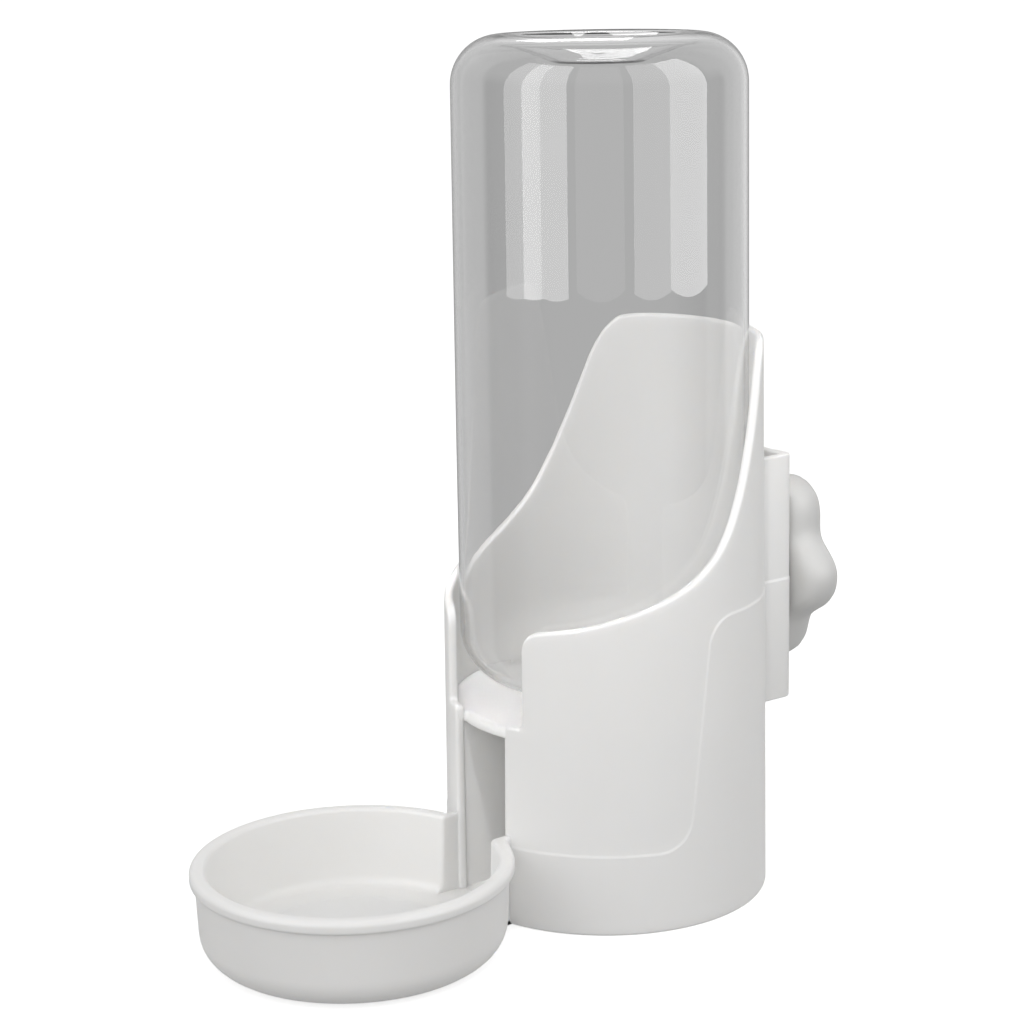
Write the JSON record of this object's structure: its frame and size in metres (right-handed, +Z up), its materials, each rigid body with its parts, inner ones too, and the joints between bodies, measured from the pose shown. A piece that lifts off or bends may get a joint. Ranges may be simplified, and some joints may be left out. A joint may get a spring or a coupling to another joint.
{
  "type": "rabbit water bottle",
  "caption": "Cage-mounted gravity drinker: an inverted clear bottle with a valve cap feeds a round bowl through a white sleeve, clamped by a threaded stud and a lobed knob.",
  "frame": {"origin": "on the sleeve's axis, on the surface that the base stands on", "axes": "+Z up along the bottle, -Y towards the bowl, +Y towards the cage wall and the knob"},
  "size_m": [0.0764, 0.1692, 0.2004],
  "materials": {
    "white_moulding": "satin white polypropylene, slightly glossy",
    "clear_bottle": "clear polished PET",
    "cap_plastic": "satin white",
    "gasket_rubber": "soft matt",
    "valve_plastic": "satin white",
    "stem_plastic": "satin white",
    "seal_rubber": "soft black",
    "spring_steel": "bright stainless wire",
    "washer_rubber": "soft pale",
    "knob_plastic": "satin white polypropylene"
  },
  "bodies": {
    "base": {"base": "white_moulding"},
    "cap": {"cap": "cap_plastic", "valve_cage": "valve_plastic", "valve_spring": "spring_steel"},
    "cap_gasket": {"cap_gasket": "gasket_rubber"},
    "bottle": {"bottle": "clear_bottle"},
    "valve": {"valve_stem": "stem_plastic", "valve_seal": "seal_rubber"},
    "washer": {"clamp_washer": "washer_rubber"},
    "knob": {"knob": "knob_plastic"}
  },
  "joints": [
    {"name": "bottle_lift", "type": "slide", "parent": "base", "child": "cap", "axis": [0, 0, 1], "range_m": [0, 0.125]},
    {"name": "thread_rise", "type": "slide", "parent": "cap", "child": "cap_gasket", "axis": [0, 0, 1], "range_m": [0, 0.0064]},
    {"name": "bottle_unscrew", "type": "hinge", "parent": "cap_gasket", "child": "bottle", "pos_m": [0, 0, 0.026], "axis": [0, 0, 1], "range_deg": [0, 720]},
    {"name": "valve_travel", "type": "slide", "parent": "cap", "child": "valve", "axis": [0, 0, 1], "range_m": [-0.003, 0], "deforming": ["valve_spring"]},
    {"name": "knob_travel", "type": "slide", "parent": "base", "child": "washer", "axis": [0, 1, 0], "range_m": [0, 0.012]},
    {"name": "knob_turn", "type": "hinge", "parent": "washer", "child": "knob", "pos_m": [0, 0.0404, 0.0715], "axis": [0, 1, 0], "range_deg": [0, 1080]}
  ],
  "couplings": [
    {"joint": "thread_rise", "follows": "bottle_unscrew", "m_per_rad": 0.0005093},
    {"joint": "valve_travel", "follows": "bottle_lift", "ratio": -0.024},
    {"joint": "knob_travel", "follows": "knob_turn", "m_per_rad": 0.00063662}
  ]
}
